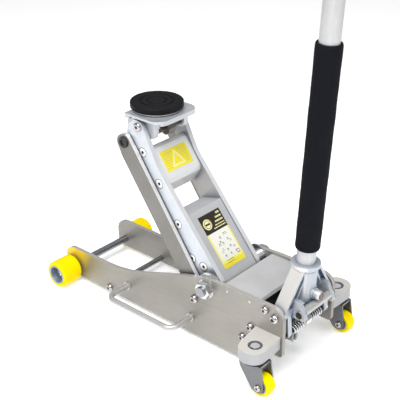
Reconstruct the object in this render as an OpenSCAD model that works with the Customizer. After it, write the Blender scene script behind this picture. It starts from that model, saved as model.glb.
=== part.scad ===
// Low-profile aluminium trolley jack with a lift arm, levelled saddle and upright pump handle.
// +X is forward (towards the saddle end), +Y is the left side, +Z is up, the floor is Z = 0.

/* [Chassis] */
// Distance of the front axle ahead of the origin
axle_x = 283; // [270:1:296]
// Width over the outer faces of the two side plates
chassis_w = 158; // [156:1:162]
// Thickness of a side plate
plate_t = 8; // [7:0.5:9]
// Height of the side plates at the rear
plate_h = 146; // [144:0.5:150]
// Distance from the front axle to the rear edge of the side plates
plate_len = 535.5; // [534:0.5:540]
// Ground clearance under the side plates
plate_clear = 9; // [8:0.5:12]
// Diameter of the round carry handles
grip_d = 11; // [9:0.5:13]

/* [Lift arm] */
// Distance from the front axle back to the arm pivot
pivot_back = 363.5; // [362:0.5:365]
// Height of the arm pivot
pivot_z = 123; // [122:0.5:124]
// Length of the lift arm between its pivots
arm_len = 316.5; // [315:0.5:318]
// Angle of the lift arm above the horizontal, as modelled
arm_angle = 54.7; // [50:0.1:60]
// Thickness of an arm cheek
cheek_t = 10; // [9:0.5:10]
// Outer width of the lift arm
arm_w = 113; // [112:0.5:114]
// Thickness of a level link
link_t = 8; // [7:0.5:8]

/* [Saddle] */
// Diameter of the rubber saddle pad
pad_d = 100; // [90:1:104]
// Thickness of the rubber saddle pad
pad_t = 11.6; // [10:0.2:12]

/* [Handle] */
// Rearward lean of the upright handle in degrees
handle_lean = 3.1; // [2.5:0.1:3.5]
// Outside diameter of the handle tube
tube_d = 34; // [32:0.5:35]
// Outside diameter of the foam sleeve
foam_d = 44; // [42:0.5:48]
// Length of the handle from the socket pivot to its top
handle_len = 1040; // [900:10:1100]

/* [Wheels] */
// Radius of a front wheel
front_r = 27.8; // [27:0.1:28.5]
// Width of a front wheel
front_w = 47; // [42:1:50]
// Radius of a caster wheel
caster_r = 20; // [19:0.5:20.5]
// Width of a caster wheel
caster_w = 22; // [20:1:24]

/* [Hidden] */
$fn = 64;

// Colours
plate_grey = [0.70, 0.68, 0.64];
arm_silver = [0.84, 0.85, 0.88];
cast_silver = [0.72, 0.74, 0.78];
zinc = [0.78, 0.78, 0.80];
steel = [0.55, 0.56, 0.58];
yellow = [1.00, 0.86, 0.05];
hub_grey = [0.45, 0.47, 0.50];
black = [0.08, 0.08, 0.09];

// Clearances: round parts that sit tight, round parts that turn, and faces side by side
seat_gap = 0.05;
run_gap = 0.06;
side_gap = 0.3;

// Width stations, measured out from the centre plane
plate_y1 = chassis_w / 2;
plate_y0 = plate_y1 - plate_t;
cheek_y1 = arm_w / 2;
cheek_y0 = cheek_y1 - cheek_t;
link_y0 = cheek_y1 + 2;
link_y1 = link_y0 + link_t;
ear_y1 = cheek_y0 - 1;
ear_y0 = ear_y1 - 11.5;

// Pivots in the side view: [x, z]
arm_pivot = [axle_x - pivot_back, pivot_z];
link_offset = [28.5, -34.5];
link_pivot = arm_pivot + link_offset;
arm_tip = arm_pivot + arm_len * [cos(arm_angle), sin(arm_angle)];
link_tip = arm_tip + link_offset;
socket_pivot = [axle_x - 517.5, 125.5];
stop_point = [axle_x - 497, 135];
tie_rod_point = [axle_x - 106, 18.7];
power_bolts = [[axle_x - 466, 86], [axle_x - 449, 57]];
cover_pin_points = [[axle_x - 412, 135.5], [axle_x - 462, 135.5]];
block_bolts = [[axle_x - 523, 80], [axle_x - 494, 80]];
carry_x = [axle_x - 157, axle_x - 324];
carry_z = 42.5;

// Shafts, pins and screws
axle_d = 12;
shaft_d = 20;
link_pin_d = 10;
bracket_pin_d = 12;
socket_pin_d = 12;
plate_screw_d = 8;
cover_pin_d = 5;
screw_head_d = 15;

// Ram: crank radius on the arm, its angle forward of straight down, and the height of the ram
crank_r = 34;
crank_angle = 23;
ram_z = 92;
ram_pin_d = 12;
ram_rod_d = 30;
ram_od = 52;
ram_head_x = arm_pivot.x + crank_r * sin(crank_angle);

// Pump: roller below the socket pivot, in the socket's own frame
roller_point = [-11.6, -39];
roller_d = 18;
roller_half = 8;
plunger_y = 38;
plunger_z = 87;
plunger_d = 12;
block_rear = axle_x - 462;
block_front = axle_x - 404;
valve_z = 40;

// Casters
king_x = axle_x - 511;
king_y = 124;
king_d = 12;
block_z1 = 92;
block_z0 = 69.7;
fork_z1 = 64;
fork_t = 4;
trail = 19.4;

// Saddle
saddle_x = arm_tip.x + 5;
pad_z0 = 404.3;
post_d = 20;
bracket_z1 = 400;
bracket_z0 = 391.5;

// ---- Outline helpers ----
function unit(v) = v / norm(v);
function wrap(a) = a > 180 ? a - 360 : a < -180 ? a + 360 : a;
function flat(p) = [p.x, p.y];
// The arc that rounds corner p = [x, y, radius] between its neighbours a and b
function corner_arc(a, p, b) = let (
        u = unit(flat(a) - flat(p)),
        v = unit(flat(b) - flat(p)),
        half = acos(u * v) / 2,
        centre = flat(p) + unit(u + v) * p.z / sin(half),
        start = flat(p) + u * p.z / tan(half) - centre,
        finish = flat(p) + v * p.z / tan(half) - centre,
        a0 = atan2(start.y, start.x),
        sweep = wrap(atan2(finish.y, finish.x) - a0),
        steps = ceil(abs(sweep) / 7.5)
    ) [for (i = [0:steps]) centre + p.z * [cos(a0 + sweep * i / steps), sin(a0 + sweep * i / steps)]];
// An outline whose corners are given as [x, y, radius]; a radius of 0 leaves a sharp corner
function rounded(pts) = let (n = len(pts)) [for (i = [0:n - 1])
    each (pts[i].z > 0 ? corner_arc(pts[(i + n - 1) % n], pts[i], pts[(i + 1) % n]) : [flat(pts[i])])];

// A plate drawn in the side view (x, z), from y0 to y0 + t
module side_slab(y0, t) {
    translate([0, y0 + t, 0]) rotate([90, 0, 0]) linear_extrude(t) children();
}
// A cylinder along Y, from y0 to y1, at side-view point p
module y_rod(p, d, y0, y1) {
    translate([p.x, y1, p.y]) rotate([90, 0, 0]) cylinder(d = d, h = y1 - y0);
}
// A cylinder along X, from x0 to x1
module x_rod(y, z, d, x0, x1) {
    translate([x0, y, z]) rotate([0, 90, 0]) cylinder(d = d, h = x1 - x0);
}
// A body turned about the Y axis at side-view point p from a profile of [radius, y]
module y_turned(p, profile) {
    translate([p.x, 0, p.y]) rotate([-90, 0, 0]) rotate_extrude() polygon(profile);
}
module both_sides() {
    children();
    mirror([0, 1, 0]) children();
}
// Domed screw head with a hexagon socket, its seat at the origin and its crown towards +Y
module dome_head(d, h) {
    rotate([-90, 0, 0]) difference() {
        rotate_extrude() polygon(rounded([[0, 0, 0], [d / 2, 0, 0], [d / 2, h, h * 0.7], [0, h, 0]]));
        translate([0, 0, h * 0.45]) cylinder(d = d * 0.45, h = h, $fn = 6);
    }
}
// A dome screw through a side plate, with a shank that ends at y0
module plate_screw(p, shank_d, y0, head_d, head_h) {
    y_rod(p, shank_d, y0, plate_y1 + 0.01);
    translate([p.x, plate_y1, p.y]) dome_head(head_d, head_h);
}

// ---- Chassis ----
module side_plate() {
    outline = rounded([[axle_x + 12, plate_clear, 4], [axle_x + 23, 20, 5], [axle_x + 23, 71, 24],
        [axle_x - 146.7, 71, 300], [axle_x - 360, plate_h, 340], [axle_x - plate_len, plate_h, 24],
        [axle_x - plate_len, 50, 7], [axle_x - 500, 50, 12], [axle_x - 462, plate_clear, 14]]);
    difference() {
        side_slab(plate_y0, plate_t) polygon(outline);
        y_rod([axle_x, front_r], axle_d + 2 * seat_gap, 0, 100);
        y_rod(tie_rod_point, plate_screw_d + 2 * seat_gap, 0, 100);
        y_rod(arm_pivot, shaft_d + 2 * seat_gap, 0, 100);
        y_rod(link_pivot, link_pin_d + 2 * seat_gap, 0, 100);
        y_rod(socket_pivot, socket_pin_d + 2 * seat_gap, 0, 100);
        y_rod(stop_point, plate_screw_d + 2 * seat_gap, 0, 100);
        for (p = power_bolts) y_rod(p, plate_screw_d + 2 * seat_gap, 0, 100);
        for (p = cover_pin_points) y_rod(p, cover_pin_d + 2 * seat_gap, 0, 100);
        for (p = block_bolts) y_rod(p, plate_screw_d + 2 * seat_gap, 0, 100);
        for (x = carry_x) y_rod([x, carry_z], grip_d - 2 + 2 * seat_gap, 0, 100);
    }
}
module left_side_plate() {
    color(plate_grey) side_plate();
}
module right_side_plate() {
    color(plate_grey) mirror([0, 1, 0]) side_plate();
}

hub_y0 = plate_y1 + 4;
hub_y1 = hub_y0 + front_w;
cup_depth = 17;
module front_axle() {
    end_y = hub_y1 - cup_depth + side_gap;
    color(steel) y_rod([axle_x, front_r], axle_d, -end_y, end_y);
    color(zinc) both_sides() {
        difference() {
            y_rod([axle_x, front_r], 22, plate_y1, hub_y0 - side_gap);
            y_rod([axle_x, front_r], axle_d, 0, 200);
        }
        translate([axle_x, end_y, front_r]) rotate([-90, 0, 0]) cylinder(d = 20, h = 2);
        translate([axle_x, end_y + 2, front_r]) dome_head(14, 7);
    }
}
// Spacer tube over the front axle, and the tie rod behind it
module cross_tubes() {
    color(zinc) difference() {
        y_rod([axle_x, front_r], 15, -plate_y0, plate_y0);
        y_rod([axle_x, front_r], axle_d + 2 * seat_gap, -200, 200);
    }
    color(zinc) difference() {
        y_rod(tie_rod_point, 11, -plate_y0, plate_y0);
        both_sides() y_rod(tie_rod_point, plate_screw_d + 2 * seat_gap, plate_y0 - 21, 100);
    }
}
carry_y = 134;
bend_r = 17;
module carry_handle() {
    bar_y = carry_y - bend_r;
    for (i = [0, 1]) {
        y_rod([carry_x[i], carry_z], grip_d, plate_y1 + 3, bar_y);
        y_rod([carry_x[i], carry_z], grip_d - 2, plate_y0 + 1, plate_y1 + 3);
        difference() {
            y_rod([carry_x[i], carry_z], grip_d + 6, plate_y1, plate_y1 + 3);
            y_rod([carry_x[i], carry_z], grip_d - 2, plate_y1 - 1, plate_y1 + 4);
        }
        translate([carry_x[i] + (i == 0 ? -bend_r : bend_r), bar_y, carry_z]) rotate([0, 0, i == 0 ? 0 : 90])
            rotate_extrude(angle = 90) translate([bend_r, 0]) circle(d = grip_d);
    }
    x_rod(carry_y, carry_z, grip_d, carry_x[1] + bend_r, carry_x[0] - bend_r);
}
module carry_handles() {
    color(zinc) both_sides() carry_handle();
}

// Caster blocks, each with a counterbored hole for the king bolt
module caster_blocks() {
    outline = rounded([[axle_x - 477, plate_y1, 2], [axle_x - 488, king_y + 28, 21],
        [axle_x - 536, king_y + 28, 23], [axle_x - 532, plate_y1, 2]]);
    color(plate_grey) both_sides() difference() {
        translate([0, 0, block_z0]) linear_extrude(block_z1 - block_z0) polygon(outline);
        translate([king_x, king_y, 0]) cylinder(d = king_d + 2 * seat_gap, h = 200);
        translate([king_x, king_y, block_z1 - 9]) cylinder(d = 26, h = 20);
        for (p = block_bolts) y_rod(p, plate_screw_d + 2 * seat_gap, plate_y1 - 1, plate_y1 + 18);
    }
}
module king_bolts() {
    head_z = block_z1 - 9;
    color(zinc) both_sides() translate([king_x, king_y, 0]) {
        translate([0, 0, fork_z1 - fork_t - 9]) cylinder(d = king_d, h = head_z - fork_z1 + fork_t + 9.01);
        translate([0, 0, head_z]) cylinder(d = 23, h = 1.6);
        translate([0, 0, head_z + 1.59]) cylinder(d = 18, h = 6.5, $fn = 6);
        translate([0, 0, fork_z1 - fork_t - 9]) cylinder(d = 18, h = 8.6, $fn = 6);
    }
}
module caster_bearings() {
    color(steel) both_sides() translate([king_x, king_y, 0]) difference() {
        rotate_extrude() polygon(rounded([[king_d / 2 + seat_gap, fork_z1 + 0.3, 0], [18, fork_z1 + 0.3, 0],
            [20, fork_z1 + 2, 1.5], [20, block_z0, 0], [king_d / 2 + seat_gap, block_z0, 0]]));
    }
}

// Main pivot of the lift arm
nut_y0 = plate_y1 + 2.5;
nut_h = 13;
module arm_pivot_shaft() {
    end_y = nut_y0 + nut_h + 5;
    profile = rounded([[0, -end_y, 0], [9, -end_y, 2], [shaft_d / 2, 1 - end_y, 0],
        [shaft_d / 2, end_y - 1, 0], [9, end_y, 2], [0, end_y, 0]]);
    color(steel) y_turned(arm_pivot, profile);
}
module arm_pivot_nuts() {
    color(zinc) both_sides() difference() {
        union() {
            y_rod(arm_pivot, 36, plate_y1, nut_y0);
            intersection() {
                translate([arm_pivot.x, nut_y0 + nut_h, arm_pivot.y]) rotate([90, 0, 0])
                    cylinder(d = 34.6, h = nut_h, $fn = 6);
                y_turned(arm_pivot, [[0, nut_y0], [17.3, nut_y0], [17.3, nut_y0 + nut_h - 2.5],
                    [14, nut_y0 + nut_h], [0, nut_y0 + nut_h]]);
            }
        }
        y_rod(arm_pivot, shaft_d + 2 * seat_gap, 0, 200);
    }
}
module arm_pivot_spacers() {
    color(zinc) both_sides() difference() {
        union() {
            y_rod(arm_pivot, 52, link_y1 + 0.5, plate_y0);
            y_rod(arm_pivot, 32, cheek_y1 + side_gap, link_y1 + 0.6);
        }
        y_rod(arm_pivot, shaft_d + 2 * seat_gap, 0, 200);
    }
}
// Shoulder bolts that the level links and the handle socket swing on
module pivot_bolts() {
    color(zinc) both_sides() {
        plate_screw(link_pivot, link_pin_d, link_y0 - 0.5, 17, 8);
        difference() {
            y_rod(link_pivot, 16, link_y1 + side_gap, plate_y0);
            y_rod(link_pivot, link_pin_d - 0.02, 0, 200);
        }
        plate_screw(socket_pivot, socket_pin_d, leg_y0 + 1, 17, 8);
        difference() {
            y_rod(socket_pivot, 20, leg_y1 + side_gap, plate_y0);
            y_rod(socket_pivot, socket_pin_d - 0.02, 0, 200);
        }
    }
}
module plate_screws() {
    color(zinc) both_sides() {
        plate_screw(tie_rod_point, plate_screw_d, plate_y0 - 20, screw_head_d, 7);
        plate_screw(stop_point, plate_screw_d, plate_y0 - 10, screw_head_d, 7);
        for (p = power_bolts) plate_screw(p, plate_screw_d, plate_y0 - 13, screw_head_d, 8);
        for (p = cover_pin_points) y_rod(p, cover_pin_d, plate_y0 - 14, plate_y1 + 0.2);
        for (p = block_bolts) {
            y_rod(p, plate_screw_d, plate_y0 - 0.01, plate_y1 + 17);
            translate([p.x, plate_y0, p.y]) mirror([0, 1, 0]) dome_head(13, 5);
        }
    }
}
module handle_stop_blocks() {
    color(black) both_sides() difference() {
        side_slab(plate_y0 - 13, 13) polygon(rounded([[stop_point.x - 6.5, stop_point.y - 9, 3],
            [stop_point.x + 9, stop_point.y - 9, 3], [stop_point.x + 9, stop_point.y + 8, 3],
            [stop_point.x - 6.5, stop_point.y + 8, 3]]));
        y_rod(stop_point, plate_screw_d + 2 * seat_gap, plate_y0 - 10.5, 100);
    }
}

// Power unit
module pump_block() {
    y1 = 52;
    color(cast_silver) difference() {
        union() {
            translate([0, y1, 0]) rotate([90, 0, 0]) linear_extrude(2 * y1)
                polygon(rounded([[block_rear, 22, 5], [block_front, 22, 5], [block_front, 128, 8],
                    [block_rear, 128, 8]]));
            both_sides() side_slab(y1 - 1, plate_y0 - y1 + 1)
                polygon(rounded([[axle_x - 471.2, 92, 5], [axle_x - 471.2, 72, 5], [axle_x - 456, 45, 6],
                    [axle_x - 438, 45, 6], [axle_x - 438, 92, 5]]));
        }
        x_rod(0, ram_z, ram_od + 2 * seat_gap, block_rear - 20, block_front + 20);
        x_rod(0, valve_z, 10 + 2 * run_gap, block_rear - 20, block_rear + 30);
        both_sides() {
            x_rod(plunger_y, plunger_z, plunger_d + 2 * run_gap, block_rear - 20, block_front - 4);
            for (p = power_bolts) y_rod(p, plate_screw_d + 2 * seat_gap, plate_y0 - 14, 100);
        }
    }
}
module ram_cylinder() {
    nose = block_front + 2.5;
    color(steel) difference() {
        union() {
            x_rod(0, ram_z, ram_od, block_rear, block_front + 0.01);
            x_rod(0, ram_z, ram_od + 8, block_front, nose);
        }
        x_rod(0, ram_z, ram_rod_d + 2 * run_gap, block_rear + 5, nose + 5);
        for (a = [0:60:300]) translate([nose - 2, 0, ram_z]) rotate([a, 0, 0]) translate([0, 0, 25])
            rotate([0, 90, 0]) cylinder(d = 5, h = 10);
    }
}
module cover_plate() {
    x0 = axle_x - 475.5;
    x1 = axle_x - 396;
    color(plate_grey) difference() {
        translate([0, plate_y0, 0]) rotate([90, 0, 0]) linear_extrude(2 * plate_y0)
            polygon(rounded([[x0, 131.5, 1], [x1, 131.5, 1], [x1, 140.5, 1.5], [x0, 140.5, 1.5]]));
        both_sides() for (p = cover_pin_points)
            y_rod(p, cover_pin_d + 2 * seat_gap, plate_y0 - 15, 200);
    }
}
// ---- Lift arm, drawn with +X along the arm from its pivot and +Z towards its back ----
module on_arm() {
    translate([arm_pivot.x, 0, arm_pivot.y]) rotate([0, -arm_angle, 0]) children();
}
rim_drop = 5 / 60;
function rim(u) = 17 - u * rim_drop;
arm_screw_points = [[272, -20], [207, -17], [125, -20], [57, -27], [35, -8]];
module arm_cheek() {
    outline = rounded([[-18, rim(-18), 15], [235, rim(235), 90], [arm_len + 15.5, 13.5, 18],
        [arm_len + 15.5, -29.5, 18], [264, -29.5, 40], [200, -46, 40], [40, -50, 22], [-17, -17, 15]]);
    difference() {
        side_slab(cheek_y0, cheek_t) polygon(outline);
        y_rod([0, 0], shaft_d + 2 * run_gap, 0, 100);
        y_rod([arm_len, 0], bracket_pin_d + 2 * run_gap, 0, 100);
        for (p = arm_screw_points) {
            y_rod(p, 8 + 2 * seat_gap, 0, 100);
            y_turned(p, [[0, cheek_y1 - 4], [4, cheek_y1 - 4], [9.4, cheek_y1 + 0.2], [0, cheek_y1 + 0.2]]);
        }
    }
}
module left_arm_cheek() {
    color(arm_silver) on_arm() arm_cheek();
}
module right_arm_cheek() {
    color(arm_silver) on_arm() mirror([0, 1, 0]) arm_cheek();
}
module cross_member(outline) {
    translate([0, cheek_y0, 0]) rotate([90, 0, 0]) linear_extrude(2 * cheek_y0) polygon(outline);
}
module upper_cross_plate() {
    color(arm_silver) on_arm() difference() {
        cross_member(rounded([[276, -20, 3], [276, -9, 2], [268, -5, 6], [206, -5, 6], [198, -9, 2],
            [184, -41, 3], [194, -41, 3], [205, -29, 6], [262, -29, 3]]));
        both_sides() for (i = [0, 1]) y_rod(arm_screw_points[i], 8 + 2 * seat_gap, cheek_y0 - 20, 100);
    }
}
module lower_cross_plate() {
    color(arm_silver) on_arm() difference() {
        cross_member(rounded([[-17, rim(-17) - 2.5, 11], [132, rim(132) - 2.5, 1.5], [149, -44, 3],
            [139, -44, 3], [120, -30, 8], [20, -36, 6], [8, -18, 3], [-17, 3, 0]]));
        y_rod([0, 0], 24.6, -200, 200);
        both_sides() {
            for (i = [2, 3, 4]) y_rod(arm_screw_points[i], 8 + 2 * seat_gap, cheek_y0 - 20, 100);
            y_rod([0, 0], 27.2, 16.2, 26.8);
            side_slab(16.2, 10.6) rotate(crank_dir) translate([0, -13.4]) square([crank_r, 26.8]);
        }
    }
}
module arm_screws() {
    color(zinc) on_arm() both_sides() for (p = arm_screw_points) difference() {
        union() {
            y_rod(p, 8, cheek_y0 - 18, cheek_y1 - 3.9);
            y_turned(p, [[0, cheek_y1 - 4], [4, cheek_y1 - 4], [8.7, cheek_y1 - 0.2], [8.3, cheek_y1],
                [0, cheek_y1]]);
        }
        translate([p.x, cheek_y1 + 1, p.y]) rotate([90, 0, 0]) cylinder(d = 7, h = 4.5, $fn = 6);
    }
}
// Thin adhesive labels on the two cross members
module arm_labels() {
    color([0.95, 0.80, 0.10]) on_arm() {
        translate([218, -34.5, -5]) cube([40, 69, 0.4]);
        translate([12, 0, rim(12) - 2.5]) rotate([0, atan(rim_drop), 0]) translate([0, -29.5, 0])
            cube([107, 59, 0.4]);
    }
}
// Crank in the arm's own frame: the ram pin's place beside the pivot
crank_dir = crank_angle - 90 - arm_angle;
crank_point = crank_r * [cos(crank_dir), sin(crank_dir)];
module arm_crank_sleeve() {
    color(cast_silver) on_arm() difference() {
        union() {
            y_rod([0, 0], 24, -cheek_y0, cheek_y0);
            both_sides() side_slab(16.5, 10) rotate(crank_dir) polygon(rounded([[-13, -13, 12.6],
                [-13, 13, 12.6], [crank_r + 11.5, 11.5, 11.4], [crank_r + 11.5, -11.5, 11.4]]));
        }
        y_rod([0, 0], shaft_d + 2 * run_gap, -200, 200);
        y_rod(crank_point, ram_pin_d + 2 * seat_gap, -200, 200);
    }
}
module ram_pin() {
    color(steel) on_arm() y_rod(crank_point, ram_pin_d, -28, 28);
}

// ---- Level links ----
module level_link() {
    outline = rounded([[-16, -16, 15], [-16, 16, 15], [arm_len + 16, 16, 15], [arm_len + 16, -16, 15],
        [arm_len - 20, -22, 30], [20, -22, 30]]);
    translate([link_pivot.x, 0, link_pivot.y]) rotate([0, -arm_angle, 0]) difference() {
        side_slab(link_y0, link_t) polygon(outline);
        y_rod([0, 0], link_pin_d + 2 * run_gap, 0, 100);
        y_rod([arm_len, 0], link_pin_d + 2 * run_gap, 0, 100);
    }
}
module left_level_link() {
    color(plate_grey) level_link();
}
module right_level_link() {
    color(plate_grey) mirror([0, 1, 0]) level_link();
}

// ---- Saddle ----
module saddle_bracket() {
    front_x = arm_tip.x + 35.5;
    rear_x = arm_tip.x - 53;
    ear = rounded([[front_x, bracket_z0 + 2, 1], [front_x + 5, link_tip.y + 6, 10],
        [link_tip.x + 13.5, link_tip.y - 13.5, 12], [link_tip.x - 13.5, link_tip.y - 12, 12],
        [link_tip.x - 15, link_tip.y + 10, 12], [arm_tip.x - 29, arm_tip.y - 21, 7],
        [arm_tip.x - 32, bracket_z0 + 2, 1]]);
    color(arm_silver) difference() {
        union() {
            translate([0, 0, bracket_z0]) linear_extrude(bracket_z1 - bracket_z0)
                polygon(rounded([[front_x, -56, 4], [front_x, 56, 4], [rear_x, 56, 25], [rear_x, -56, 25]]));
            both_sides() side_slab(ear_y0, ear_y1 - ear_y0) polygon(ear);
            translate([saddle_x, 0, 364]) cylinder(d = 30, h = bracket_z0 - 363);
        }
        both_sides() translate([rear_x - 5, cheek_y0 - 0.5, bracket_z0 - 1]) cube([80, 20, 5.3]);
        translate([saddle_x, 0, 300]) cylinder(d = post_d + 2 * run_gap, h = 200);
        both_sides() {
            y_rod(arm_tip, bracket_pin_d + 2 * seat_gap, ear_y0 - 1, 100);
            y_rod(link_tip, link_pin_d + 2 * seat_gap, ear_y0 - 1, 100);
            y_rod(cross_rod_point, 7 + 2 * seat_gap, ear_y0 - 1, ear_y0 + 6.3);
        }
    }
}
// Rod across the bracket behind the saddle post, with a collar at its middle
cross_rod_point = arm_tip + [-22, -13.3];
module bracket_cross_rod() {
    color(steel) {
        y_rod(cross_rod_point, 7, -ear_y0 - 6, ear_y0 + 6);
        difference() {
            y_rod(cross_rod_point, 22, -9, 9);
            y_rod(cross_rod_point, 7, -20, 20);
        }
    }
}
module bracket_pivot_screws() {
    color(zinc) both_sides() {
        y_rod(arm_tip, bracket_pin_d, ear_y0, cheek_y1 + side_gap + 0.01);
        translate([arm_tip.x, cheek_y1 + side_gap, arm_tip.y]) dome_head(17, 4.8);
    }
}
module link_upper_pins() {
    head_y = link_y1 + side_gap;
    color(black) both_sides() {
        y_rod(link_tip, link_pin_d, -0.01, head_y + 0.01);
        y_rod(link_tip, 13, ear_y1, link_y0 - side_gap);
        translate([link_tip.x, head_y, link_tip.y]) rotate([-90, 0, 0]) difference() {
            rotate_extrude() polygon(rounded([[0, 0, 0], [11, 0, 0], [11, 3.4, 1.2], [0, 3.4, 0]]));
            translate([0, 0, 1.2]) cylinder(d = 13, h = 10, $fn = 6);
        }
    }
}
module saddle_cup() {
    z0 = bracket_z1 + side_gap;
    color(cast_silver) translate([saddle_x, 0, 0]) {
        rotate_extrude() polygon(rounded([[0, z0, 0], [33, z0, 1], [48, z0 + 1.4, 2], [48, pad_z0, 0],
            [0, pad_z0, 0]]));
        translate([0, 0, 356]) cylinder(d = post_d, h = z0 - 355);
    }
}
module saddle_retainer() {
    color(black) translate([saddle_x, 0, 0]) difference() {
        translate([0, 0, 358.5]) cylinder(d = 28, h = 5);
        cylinder(d = post_d + 2 * seat_gap, h = 500);
    }
}
module saddle_pad() {
    r = pad_d / 2;
    z1 = pad_z0 + pad_t;
    color(black) translate([saddle_x, 0, 0]) difference() {
        rotate_extrude() polygon(rounded([[0, pad_z0, 0], [r - 0.6, pad_z0, 1], [r, z1, 1.6], [0, z1, 0]]));
        for (groove_r = [18, 30.5]) translate([0, 0, z1]) rotate_extrude()
            polygon([[groove_r - 1.2, 1], [groove_r - 0.8, -1.6], [groove_r + 0.8, -1.6], [groove_r + 1.2, 1]]);
    }
}

// ---- Ram and pump ----
module ram_piston() {
    x0 = ram_head_x - 14;
    color(steel) difference() {
        union() {
            x_rod(0, ram_z, ram_rod_d, block_rear + 41.5, x0 + 1);
            translate([0, 15, 0]) rotate([90, 0, 0]) linear_extrude(30)
                polygon(rounded([[x0, 76, 4], [x0 + 28, 76, 4], [x0 + 28, 108.4, 4], [x0, 108.4, 4]]));
        }
        translate([0, 20, 0]) rotate([90, 0, 0]) linear_extrude(40)
            polygon(rounded([[ram_head_x - 8, 82, 2], [ram_head_x + 8, 82, 2],
                [ram_head_x + 8, 104.2, 2], [ram_head_x - 8, 104.2, 2]]));
    }
}
roller_x = socket_pivot.x + roller_point.x * cos(handle_lean) - roller_point.y * sin(handle_lean);
plate_rear = roller_x + roller_d / 2 + 0.9;
module pump_plungers() {
    color(steel) {
        translate([plate_rear, 0, 0]) rotate([90, 0, 90]) linear_extrude(4)
            polygon(rounded([[-48, 70, 5], [48, 70, 5], [48, 106, 5], [-48, 106, 5]]));
        both_sides() x_rod(plunger_y, plunger_z, plunger_d, plate_rear + 3, block_rear + 8);
    }
}
module release_valve() {
    color(steel) {
        x_rod(0, valve_z, 10, block_rear - 34, block_rear + 28);
        difference() {
            x_rod(0, valve_z, 20, block_rear - 44, block_rear - 26);
            translate([block_rear - 45, -3, valve_z - 12]) cube([10, 6, 24]);
        }
    }
}

// ---- Handle socket and handle, drawn with +Z up the handle from the socket pivot ----
module on_handle() {
    translate([socket_pivot.x, 0, socket_pivot.y]) rotate([0, -handle_lean, 0]) children();
}
leg_y0 = 56;
leg_y1 = 68;
leg_half = 13;
barrel_d = 45;
flange_z = 81;
socket_tie_point = [-29, 5.5];
module handle_socket() {
    leg = rounded([[18, 76, 2], [23, 75, 3], [leg_y1, 8, 12], [leg_y1, -13, 8], [54, -13, 3],
        [44, 8, 8], [18, 54, 3]]);
    pocket = rounded([[20.8, 70, 1], [20.8, 55.6, 2], [45.5, 12, 2], [59.9, 12, 2]]);
    web = [[15, 70], [20, 55], [46, 9], [43, 6], [15, 14]];
    color(cast_silver) on_handle() difference() {
        union() {
            translate([0, 0, 9]) cylinder(d = barrel_d, h = flange_z - 10);
            rotate_extrude() polygon(rounded([[18, 68, 0], [barrel_d / 2, 68, 0], [26.5, 74, 2],
                [26.5, flange_z, 1.5],
                [18, flange_z, 0]]));
            both_sides() {
                difference() {
                    intersection() {
                        translate([-leg_half, 0, 0]) rotate([90, 0, 90]) linear_extrude(2 * leg_half)
                            polygon(leg);
                        side_slab(0, 90) polygon(rounded([[-leg_half, -leg_half, 12.9],
                            [leg_half, -leg_half, 12.9], [leg_half, 90, 0], [-leg_half, 90, 0]]));
                    }
                    for (x = [-leg_half - 9, leg_half - 9]) translate([x, 0, 0]) rotate([90, 0, 90])
                        linear_extrude(18) polygon(pocket);
                }
                translate([-3, 0, 0]) rotate([90, 0, 90]) linear_extrude(6) polygon(web);
                side_slab(50, 10) polygon(rounded([[-12, 8, 2], [roller_point.x - 8.5, roller_point.y - 8.5, 8],
                    [roller_point.x + 9, roller_point.y - 8.5, 8], [10, 8, 2]]));
                side_slab(38, 8) polygon(rounded([[-42, -6, 4], [-2, -9, 2], [-2, 28, 2], [-25, 28, 3]]));
                side_slab(45, 12) polygon(rounded([[-9, -8, 2], [0, -8, 2], [0, 8, 2], [-9, 8, 2]]));
            }
            x_rod(0, 25, 20, -26, 0);
        }
        translate([0, 0, 15]) cylinder(d = tube_d + 2 * run_gap, h = 100);
        translate([0, 0, -50]) cylinder(d = 15, h = 100);
        x_rod(0, 25, 8 + 2 * seat_gap, -60, 0);
        y_rod(socket_tie_point, 8 + 2 * seat_gap, -100, 100);
        both_sides() {
            y_rod([0, 0], socket_pin_d + 2 * run_gap, leg_y0 - 8, 100);
            y_rod(roller_point, 10 + 2 * seat_gap, 0, 100);
        }
    }
}
module clamp_screw() {
    color(zinc) on_handle() {
        x_rod(0, 25, 8, -28, -tube_d / 2 - 0.3);
        difference() {
            x_rod(0, 25, 17, -30, -26);
            x_rod(0, 25, 8, -31, -25);
        }
        translate([-30, 0, 25]) rotate([0, 0, 90]) dome_head(17, 10);
        x_rod(0, 25, 8, -30.5, -27.5);
    }
}
module roller_shaft() {
    color(steel) on_handle() y_rod(roller_point, 10, -59, 59);
}
module pump_roller() {
    color(zinc) on_handle() difference() {
        y_rod(roller_point, roller_d, -roller_half, roller_half);
        y_rod(roller_point, 10 + 2 * run_gap, -100, 100);
    }
}
module return_springs() {
    color(black) on_handle() both_sides() {
        difference() {
            y_rod(roller_point, 17, roller_half + 0.6, 44);
            y_rod(roller_point, 11, 0, 100);
        }
        translate([roller_point.x - 6.6, 42.2, roller_point.y]) cylinder(d = 3, h = 31);
    }
}
module socket_tie_shaft() {
    color(zinc) on_handle() {
        y_rod(socket_tie_point, 8, -46.2, 46.2);
        difference() {
            y_rod(socket_tie_point, 16, -37.7, 37.7);
            y_rod(socket_tie_point, 8, -60, 60);
        }
        both_sides() difference() {
            y_rod(socket_tie_point, 12, 46.2, 50);
            y_rod(socket_tie_point, 6, 47.6, 60);
        }
    }
}
joint_z = 590;
foam_z0 = 109;
foam_z1 = 475;
tube_bore = tube_d - 5;
button_z = 566;
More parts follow.
